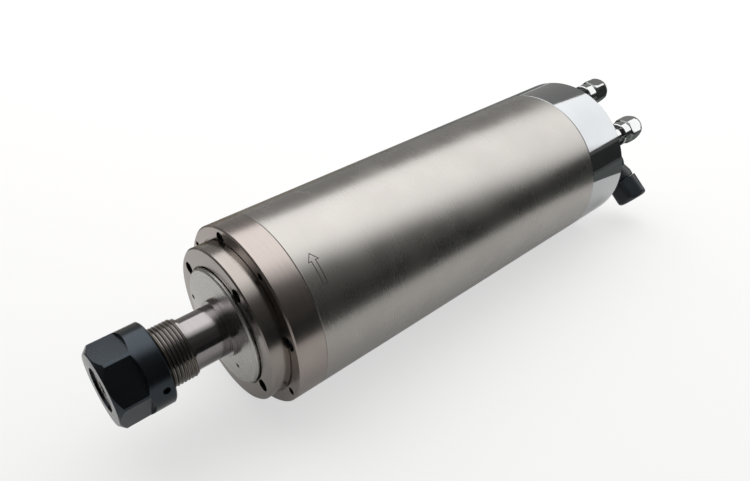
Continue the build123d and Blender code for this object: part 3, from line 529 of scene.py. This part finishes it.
def ring_tree():
    """A form repeated evenly about an axis parallel to the spindle."""
    tree, given = new_tree(
        "repeat_round",
        [
            ("Form", "NodeSocketObject"),
            ("Centre", "NodeSocketVector"),
            ("Circle radius", "NodeSocketFloat"),
            ("Count", "NodeSocketInt"),
            ("Start angle", "NodeSocketFloat"),
            ("Material", "NodeSocketMaterial"),
        ],
    )
    points = add(tree, "GeometryNodePoints", {"Count": given["Count"]})
    step = add(tree, MATH, {0: 2 * math.pi, 1: given["Count"]}, operation="DIVIDE")
    index = add(tree, "GeometryNodeInputIndex")
    angle = add(
        tree, MATH, {0: index, 1: step, 2: given["Start angle"]}, operation="MULTIPLY_ADD"
    )
    cosine = add(tree, MATH, {0: angle}, operation="COSINE")
    sine = add(tree, MATH, {0: angle}, operation="SINE")
    outward = add(tree, "ShaderNodeCombineXYZ", {"Y": cosine, "Z": sine})
    spot = add(
        tree,
        "ShaderNodeVectorMath",
        {0: outward, "Scale": given["Circle radius"]},
        operation="SCALE",
    )
    place = add(tree, "ShaderNodeVectorMath", {0: spot, 1: given["Centre"]}, operation="ADD")
    moved = add(tree, "GeometryNodeSetPosition", {"Geometry": points, "Position": place})
    form = add(tree, "GeometryNodeObjectInfo", {"Object": given["Form"]})
    turn = add(tree, "ShaderNodeCombineXYZ", {"X": angle})
    copies = add(
        tree,
        "GeometryNodeInstanceOnPoints",
        {"Points": moved, "Instance": form.outputs["Geometry"], "Rotation": turn},
    )
    real = add(tree, "GeometryNodeRealizeInstances", {"Geometry": copies})
    done = add(
        tree, "GeometryNodeSetMaterial", {"Geometry": real, "Material": given["Material"]}
    )
    add(tree, "NodeGroupOutput", {"Geometry": done})
    return tree


THREAD = thread_tree()
REPEAT = ring_tree()

# The nose thread, 25 x 1.5 mm, from the end under the nut to its run-out at the neck.
THREAD_RADIUS, THREAD_ROOT, THREAD_PITCH = 12.5, 11.95, 1.5
THREAD_START, THREAD_LENGTH = -51.2, 24.2
grow(
    "nose_thread",
    THREAD,
    {
        "Start": THREAD_START * MM,
        "Length": THREAD_LENGTH * MM,
        "Pitch": THREAD_PITCH * MM,
        "Crest radius": THREAD_RADIUS * MM,
        "Root radius": THREAD_ROOT * MM,
        "Steps per turn": 48,
        "Material": thread_steel,
    },
    "rotor",
    "shaft_steel",
)


def lathe(name, loops, place=None, sides=48, bored=False):
    """A closed form from loops of (x, radius or function of angle).

    Its ends are capped or, where it is bored through, its last loop meets its first.
    """
    form = bmesh.new()
    rings = []
    for x, radius in loops:
        ring = []
        for i in range(sides):
            angle = 2 * math.pi * (i + 0.5) / sides
            reach = radius(i, angle) if callable(radius) else radius
            across = (reach * MM * math.cos(angle), reach * MM * math.sin(angle))
            ring.append(form.verts.new((x * MM, *across)))
        rings.append(ring)
    for near, far in zip(rings, rings[1:] + rings[:1] if bored else rings[1:]):
        for i in range(sides):
            j = (i + 1) % sides
            form.faces.new((near[i], far[i], far[j], near[j]))
    if not bored:
        form.faces.new(rings[0])
        form.faces.new(reversed(rings[-1]))
    bmesh.ops.recalc_face_normals(form, faces=form.faces)
    if place:
        form.transform(place)
    mesh = bpy.data.meshes.new(name)
    form.to_mesh(mesh)
    form.free()
    return bpy.data.objects.new(name, mesh)


def hexagon(flats):
    """A radius function for a hexagon of a width across flats."""
    sixth = math.pi / 3
    return lambda i, angle: flats / 2 / math.cos((angle + sixth / 2) % sixth - sixth / 2)


# An M3 socket-head screw, in mm.
HEAD_RADIUS = 2.72
HEAD_HEIGHT = 3.0
SOCKET_FLATS = 2.5
SOCKET_DEPTH = 1.3
SHANK_RADIUS = 1.5


def knurl(i, angle):
    """A radius function for the straight knurl of a socket head."""
    return HEAD_RADIUS if i % 2 else HEAD_RADIUS - 0.12


def socket_screw(head_x, tip_x):
    """An M3 screw from its head to its tip: hexagon socket, knurled head, plain shank."""
    length = abs(tip_x - head_x)
    way = 1 if tip_x > head_x else -1
    loops = [
        (SOCKET_DEPTH, hexagon(SOCKET_FLATS - 0.1)),
        (0.15, hexagon(SOCKET_FLATS)),
        (0.0, hexagon(SOCKET_FLATS + 0.3)),
        (0.0, HEAD_RADIUS - 0.47),
        (0.12, HEAD_RADIUS - 0.22),
        (0.4, HEAD_RADIUS - 0.1),
        (0.5, knurl),
        (HEAD_HEIGHT - 0.1, knurl),
        (HEAD_HEIGHT, HEAD_RADIUS - 0.22),
        (HEAD_HEIGHT, SHANK_RADIUS),
        (length - 0.3, SHANK_RADIUS),
        (length, SHANK_RADIUS - 0.3),
    ]
    return lathe("screw_form", [(head_x + way * x, radius) for x, radius in loops])


def screw_ring(name, node, head_x, tip_x, circle, angle):
    """Four socket-head screws in place of a CAD node, all sizes in mm and degrees."""
    form = socket_screw(head_x, tip_x)
    grow(
        name,
        REPEAT,
        {
            "Form": form,
            "Circle radius": circle * MM,
            "Count": 4,
            "Start angle": math.radians(angle),
            "Material": screw_oxide,
        },
        "housing",
        "screw_steel",
        node,
    )
    bpy.data.objects.remove(form)


# X of the head and of the tip, the screws' circle and the angle of the first.
screw_ring("nose_socket_screws", "front_cover_screws", -5.5, 8.5, 28.75, 30.0)
screw_ring("shoulder_socket_screws", "front_housing_screws", 1.0, 22.0, 35.25, 75.0)
screw_ring("cap_socket_screws", "cap_screws", 216.2, 175.0, 34.5, 35.0)

# Straight grip ridges, moulded on the coupling ring.
RIDGE_RADIUS, RIDGE_END_RADIUS = 0.34, 0.22
RIDGE_CIRCLE, RIDGE_COUNT = 10.95, 36
ridge_loops = [(220.4, RIDGE_END_RADIUS), (220.9, RIDGE_RADIUS)]
ridge_loops += [(229.9, RIDGE_RADIUS), (230.4, RIDGE_END_RADIUS)]
ridge = lathe("ridge_form", ridge_loops, sides=8)
grow(
    "ring_grip_ridges",
    REPEAT,
    {
        "Form": ridge,
        "Centre": SOCKET,
        "Circle radius": RIDGE_CIRCLE * MM,
        "Count": RIDGE_COUNT,
        "Start angle": 0.0,
        "Material": plug_nylon,
    },
    "coupling_ring",
    "plug_black",
)
bpy.data.objects.remove(ridge)


# ---- Domed hose nuts and the angled plug ----
def merged(name, *parts):
    """Several closed forms in one mesh, with smooth shading inside each edge."""
    form = bmesh.new()
    for part in parts:
        form.from_mesh(part.data)
        bpy.data.objects.remove(part)
    mesh = bpy.data.meshes.new(name)
    form.to_mesh(mesh)
    form.free()
    mesh.shade_smooth()
    mesh.set_sharp_from_angle(angle=math.radians(24))
    return mesh


def least(radius, limit):
    """A radius function held within a limit, as a turned dome cuts a hexagon's corners."""
    return lambda i, angle: min(radius(i, angle), limit)


def dome_loops(start, end, dome, flats, tip, bore, depth):
    """Loops of a hexagon with a domed end, dome long, and a bore to a depth."""
    steps = 8
    crest = flats / math.sqrt(3)
    loops = [(start, least(hexagon(flats), crest * 0.93)), (start + 0.6, hexagon(flats))]
    for k in range(steps + 1):
        turn = math.radians(90 * k / steps)
        limit = crest - (crest - tip) * (1 - math.cos(turn))
        loops.append((end - dome + dome * math.sin(turn), least(hexagon(flats), limit)))
    loops += [(end, bore + 0.3), (end - 0.3, bore), (end - depth, bore)]
    return loops


# The hose nuts, in mm: X of their two ends and of the hexagon's start, then radii.
NUT_START, HEX_START, NUT_END = 229.9, 236.2, 247.2
COLLAR_RADIUS = 6.35
NECK_BORE = 4.85


def hose_nut(name, node, axis, turn, material):
    """A plated hose nut: round collar, hexagon and dome over the tube's mouth."""
    place = Matrix.Translation(axis) @ Matrix.Rotation(math.radians(turn), 4, "X")
    # The bore clears the fitting's neck, then seats on the ferrule's cone.
    seat = [(241.8, 4.45), (238.55, NECK_BORE)]
    collar = [(NUT_START, NECK_BORE), (NUT_START, 6.0), (230.3, COLLAR_RADIUS)]
    collar += [(235.6, COLLAR_RADIUS), (HEX_START, 5.9)]
    loops = seat + collar
    loops += dome_loops(HEX_START, NUT_END, dome=6.0, flats=13.0, tip=4.9, bore=4.1, depth=5.4)
    form = lathe("nut_form", loops, place, bored=True)
    keep(name, merged(name, form), node, "fitting_plate", material, node)


hose_nut("upper_domed_nut", "upper_hose_nut", UPPER_FITTING, 37.0, upper_nickel)
hose_nut("lower_domed_nut", "lower_hose_nut", LOWER_FITTING, 19.0, lower_nickel)

# The plug turns the cable down and outwards: a barrel on the socket's axis, an arm
# that starts as a ball inside it, and the gland's nut on the arm's end.
ARM_ANGLE = 219.0
ARM_X = 241.2
BALL_RADIUS = 5.2
ARM_RADIUS, ARM_END = 7.6, 12.2
GLAND_RADIUS = 9.0
BARREL_RADIUS, BARREL_BORE = 8.2, 7.05
arm = (
    Matrix.Translation((ARM_X * MM, SOCKET[1], SOCKET[2]))
    @ Matrix.Rotation(math.radians(ARM_ANGLE), 4, "X")
    @ Matrix.Rotation(math.radians(90), 4, "Z")
)
barrel_loops = [(236.4, BARREL_BORE), (232.3, BARREL_BORE), (232.3, 7.9)]
barrel_loops += [(232.7, BARREL_RADIUS), (242.4, BARREL_RADIUS), (243.4, 7.9)]
barrel_loops += [(248.2, 2.6), (249.2, 1.2), (249.3, 0.4)]
arm_loops = [
    (-BALL_RADIUS * math.cos(math.radians(k)), BALL_RADIUS * math.sin(math.radians(k)))
    for k in range(10, 90, 10)
]
arm_loops += [(0.0, 5.3), (9.0, ARM_RADIUS), (11.7, ARM_RADIUS), (ARM_END, 7.2), (ARM_END, 6.8)]
barrel_form = lathe("barrel_form", barrel_loops, Matrix.Translation(SOCKET))
elbow = merged("moulded_elbow", barrel_form, lathe("arm_form", arm_loops, arm))
keep("moulded_elbow", elbow, "plug", "plug_black", plug_nylon, "plug_elbow")

gland_loops = [
    (t, least(radius, GLAND_RADIUS) if callable(radius) else radius)
    for t, radius in dome_loops(12.4, 25.4, dome=4.5, flats=16.4, tip=6.4, bore=4.1, depth=5.0)
]
gland = merged("cable_gland_nut", lathe("gland_form", gland_loops, arm))
keep("cable_gland_nut", gland, "plug", "plug_black", plug_nylon, "gland_nut")


# ---- Rotation arrow, etched on the sleeve ----
def etched_line(name, corners, width_mm, radius_mm):
    """A closed outline of (x, degrees) corners as a thin band on a round surface."""
    form = bmesh.new()
    per_degree = math.radians(1) * radius_mm
    flat = [Vector((x, angle * per_degree, 0)) for x, angle in corners]
    for here, there in zip(flat, flat[1:] + flat[:1]):
        run = there - here
        side = Vector((-run.y, run.x, 0)).normalized() * width_mm / 2
        reach = run.normalized() * width_mm / 2
        cuts = max(2, round(run.length))
        rows = []
        for k in range(cuts + 1):
            spot = here - reach + (run + 2 * reach) * k / cuts
            row = []
            for shift, lift in ((side, SUNK), (side, PROUD), (-side, PROUD), (-side, SUNK)):
                turn = (spot + shift).y / radius_mm
                out = (radius_mm + lift) * MM
                at = ((spot + shift).x * MM, out * math.cos(turn), out * math.sin(turn))
                row.append(form.verts.new(at))
            rows.append(row)
        for near, far in zip(rows, rows[1:]):
            for i in range(4):
                j = (i + 1) % 4
                form.faces.new((near[i], near[j], far[j], far[i]))
        form.faces.new(rows[0])
        form.faces.new(reversed(rows[-1]))
    bmesh.ops.recalc_face_normals(form, faces=form.faces)
    mesh = bpy.data.meshes.new(name)
    form.to_mesh(mesh)
    form.free()
    return mesh


# Electro-etched line on stainless steel: matt, dark grey-brown, uneven in its bite.
etch = moulded("steel_electro_etched", "#2f2c29", "#4a4642", 0.6, grain_mm=0.4, Metallic=0.5)
SUNK, PROUD = -0.05, 0.012  # the band's two faces, off the sleeve's surface
LINE_WIDTH = 0.3
BODY_RADIUS = 40.0
ARROW_X = 20.5
HEAD, SHAFT = 2.25, 0.95  # half widths
TIP, NECK, TAIL = 121.6, 126.2, 140.3  # degrees round the body
arrow = [
    (ARROW_X, TIP),
    (ARROW_X + HEAD, NECK),
    (ARROW_X + SHAFT, NECK),
    (ARROW_X + SHAFT, TAIL),
    (ARROW_X - SHAFT, TAIL),
    (ARROW_X - SHAFT, NECK),
    (ARROW_X - HEAD, NECK),
]
band = etched_line("rotation_arrow", arrow, LINE_WIDTH, BODY_RADIUS)
keep("rotation_arrow", band, "housing", "sleeve_steel", etch)


# ---- Studio ----
def sheet(name, corners, material):
    """A flat stage piece from its corners, not part of the spindle."""
    mesh = bpy.data.meshes.new(name)
    mesh.from_pydata(corners, [], [list(range(len(corners)))])
    mesh.materials.append(material)
    board = bpy.data.objects.new(name, mesh)
    bpy.context.scene.collection.objects.link(board)
    return board


# Pale matt floor. Camera rays see part of it as plain white, which keeps the shadow
# soft; reflections see only a little of that white.
FLOOR_Z = -0.040
FLOOR_HALF = 3.0
WHITE_TO_CAMERA = 0.62
WHITE_IN_METAL = 0.18
floor_paint, floor_tree = paint("floor_paint")
floor_shader = floor_tree.nodes["Principled BSDF"]
floor_shader.inputs["Base Color"].default_value = linear("#f4f3f1")
floor_shader.inputs["Roughness"].default_value = 0.7
floor_shader.inputs["Specular IOR Level"].default_value = 0.2
path = add(floor_tree, "ShaderNodeLightPath").outputs
in_metal = add(
    floor_tree,
    MATH,
    {0: path["Is Glossy Ray"], 1: path["Is Transmission Ray"]},
    operation="MAXIMUM",
)
faint = add(floor_tree, MATH, {0: in_metal, 1: WHITE_IN_METAL}, operation="MULTIPLY")
share = add(
    floor_tree,
    MATH,
    {0: path["Is Camera Ray"], 1: WHITE_TO_CAMERA, 2: faint},
    operation="MULTIPLY_ADD",
)
white = add(floor_tree, "ShaderNodeEmission", {"Strength": 1.0})
pale = add(
    floor_tree, "ShaderNodeMixShader", {0: share, 1: floor_shader.outputs[0], 2: white}
)
floor_tree.links.new(pale.outputs[0], floor_tree.nodes["Material Output"].inputs["Surface"])
floor_square = [(-1, -1), (1, -1), (1, 1), (-1, 1)]
sheet("floor", [(x * FLOOR_HALF, y * FLOOR_HALF, FLOOR_Z) for x, y in floor_square], floor_paint)

# A large softbox above and behind. It glows more across its short way, and fades a
# little along its long way.
LIGHT_HEIGHT = 0.8
LAMP_STRENGTH = 2.4
LAMP_FADE = 0.84
LAMP_LONG_WAY = (0.819, -0.574, 0.0)
LAMP_SHORT_WAY = (0.574, 0.819, 0.0)
LAMP_NEAR_EDGE = -0.3  # this and the corners below are shares of the height
light_paint, light_tree = paint("softbox_cloth")
light_tree.nodes.clear()
spot = add(light_tree, "ShaderNodeTexCoord").outputs["Object"]
across = add(
    light_tree, "ShaderNodeVectorMath", {0: spot, 1: LAMP_SHORT_WAY}, operation="DOT_PRODUCT"
)
along = add(
    light_tree, "ShaderNodeVectorMath", {0: spot, 1: LAMP_LONG_WAY}, operation="DOT_PRODUCT"
)
glow = add(
    light_tree,
    "ShaderNodeMapRange",
    {
        "Value": across.outputs["Value"],
        "From Min": LAMP_NEAR_EDGE * LIGHT_HEIGHT,
        "From Max": 0.15 * LIGHT_HEIGHT,
        "To Min": 0.0,
        "To Max": LAMP_STRENGTH,
    },
)
fade = add(
    light_tree,
    "ShaderNodeMapRange",
    {
        "Value": along.outputs["Value"],
        "From Min": 0.0,
        "From Max": 1.6 * LIGHT_HEIGHT,
        "To Min": 1.0,
        "To Max": LAMP_FADE,
    },
)
strength = add(light_tree, MATH, {0: glow, 1: fade}, operation="MULTIPLY")
cloth_glow = add(light_tree, "ShaderNodeEmission", {"Strength": strength})
add(light_tree, "ShaderNodeOutputMaterial", {"Surface": cloth_glow})

lamp_corners = [(-1.0, LAMP_NEAR_EDGE), (-1.0, 1.75), (-0.5, 1.62), (0.0, 1.38)]
lamp_corners += [(0.8, 1.4), (1.1, 1.28), (4.8, 1.2), (4.8, LAMP_NEAR_EDGE)]
softbox = sheet(
    "softbox",
    [
        (
            (a * LAMP_LONG_WAY[0] + b * LAMP_SHORT_WAY[0]) * LIGHT_HEIGHT,
            (a * LAMP_LONG_WAY[1] + b * LAMP_SHORT_WAY[1]) * LIGHT_HEIGHT,
            LIGHT_HEIGHT,
        )
        for a, b in lamp_corners
    ],
    light_paint,
)
softbox.visible_camera = False


# Dark cards round the pale floor, seen only in the metal: they end its reflection.
CARD_Z = FLOOR_Z + 0.0006
CARD_TOP = 0.08
CARD_RIGHT = 0.9
CARD_SEAM = 0.297  # X where the far card ends and the rear card starts


def card(name, colour, corners):
    """A matt card that only reflections see."""
    cloth, tree = paint(name)
    cloth_shader = tree.nodes["Principled BSDF"]
    cloth_shader.inputs["Base Color"].default_value = linear(colour)
    cloth_shader.inputs["Roughness"].default_value = 0.9
    board = sheet(name, corners, cloth)
    board.visible_camera = False
    board.visible_diffuse = False
    board.visible_shadow = False
    board.visible_transmission = False


near_edge = [(-0.7, -0.42), (0.105, -0.215), (0.275, -0.185), (CARD_RIGHT, -0.19)]
near_edge += [(CARD_RIGHT, -0.9), (-0.7, -0.9)]
card("near_card", "#4a4d4c", [(x, y, CARD_Z) for x, y in near_edge])
wall_foot = [(-0.7, -0.56, CARD_Z), (0.105, -0.28, CARD_Z), (CARD_RIGHT, -0.20, CARD_Z)]
wall_top = [(CARD_RIGHT, -0.24, CARD_TOP), (0.105, -0.32, CARD_TOP), (-0.7, -0.6, CARD_TOP)]
card("near_wall", "#272b2a", wall_foot + wall_top)
rear_edge = [(CARD_SEAM, -0.19), (CARD_RIGHT, -0.19), (CARD_RIGHT, 0.9), (CARD_SEAM, 0.9)]
card("rear_card", "#5d625f", [(x, y, CARD_Z) for x, y in rear_edge])
far_edge = [(-0.9, 0.16), (CARD_SEAM, 0.14), (CARD_SEAM, 0.9), (-0.9, 0.9)]
card("far_card", "#7d766a", [(x, y, CARD_Z) for x, y in far_edge])

# The room: dim in front, brighter behind the spindle. The camera sees it white;
# glossy and transmitted rays see a share of that white.
ROOM_BRIGHT_SIDE = (0.45, 0.85, 0.2)
ROOM_DIM, ROOM_BRIGHT = 0.04, 0.37
ROOM_WHITE_IN_METAL = 0.03
world = bpy.data.worlds.new("studio")
bpy.context.scene.world = world
world.use_nodes = True
sky = world.node_tree
toward = add(sky, "ShaderNodeTexCoord").outputs["Generated"]
facing = add(
    sky, "ShaderNodeVectorMath", {0: toward, 1: ROOM_BRIGHT_SIDE}, operation="DOT_PRODUCT"
)
level = add(
    sky,
    "ShaderNodeMapRange",
    {
        "Value": facing.outputs["Value"],
        "From Min": -0.5,
        "From Max": 0.9,
        "To Min": ROOM_DIM,
        "To Max": ROOM_BRIGHT,
    },
)
seen = add(sky, "ShaderNodeLightPath").outputs
mirrored = add(
    sky, MATH, {0: seen["Is Glossy Ray"], 1: seen["Is Transmission Ray"]}, operation="MAXIMUM"
)
lifted = add(
    sky, MATH, {0: mirrored, 1: ROOM_WHITE_IN_METAL, 2: level}, operation="MULTIPLY_ADD"
)
shown = add(sky, MATH, {0: lifted, 1: seen["Is Camera Ray"]}, operation="MAXIMUM")
sky.nodes["Background"].inputs["Color"].default_value = linear("#f3f1ee")
sky.links.new(shown.outputs[0], sky.nodes["Background"].inputs["Strength"])


# ---- Camera ----
CAMERA_PLACE = (-0.0892, -0.1835, 0.1830)
CAMERA_RIGHT = Vector((0.7553, -0.6554, 0.0))
CAMERA_UP = Vector((0.3878, 0.4469, 0.8062))
camera = bpy.data.objects.new("camera", bpy.data.cameras.new("camera"))
bpy.context.scene.collection.objects.link(camera)
camera.data.sensor_width = 36.0
camera.data.lens = 31.16
camera.data.shift_x = 0.0044
axes = Matrix((CAMERA_RIGHT, CAMERA_UP, CAMERA_RIGHT.cross(CAMERA_UP))).transposed()
camera.matrix_world = Matrix.Translation(CAMERA_PLACE) @ axes.to_4x4()
bpy.context.scene.camera = camera
bpy.context.scene.view_settings.view_transform = "Standard"
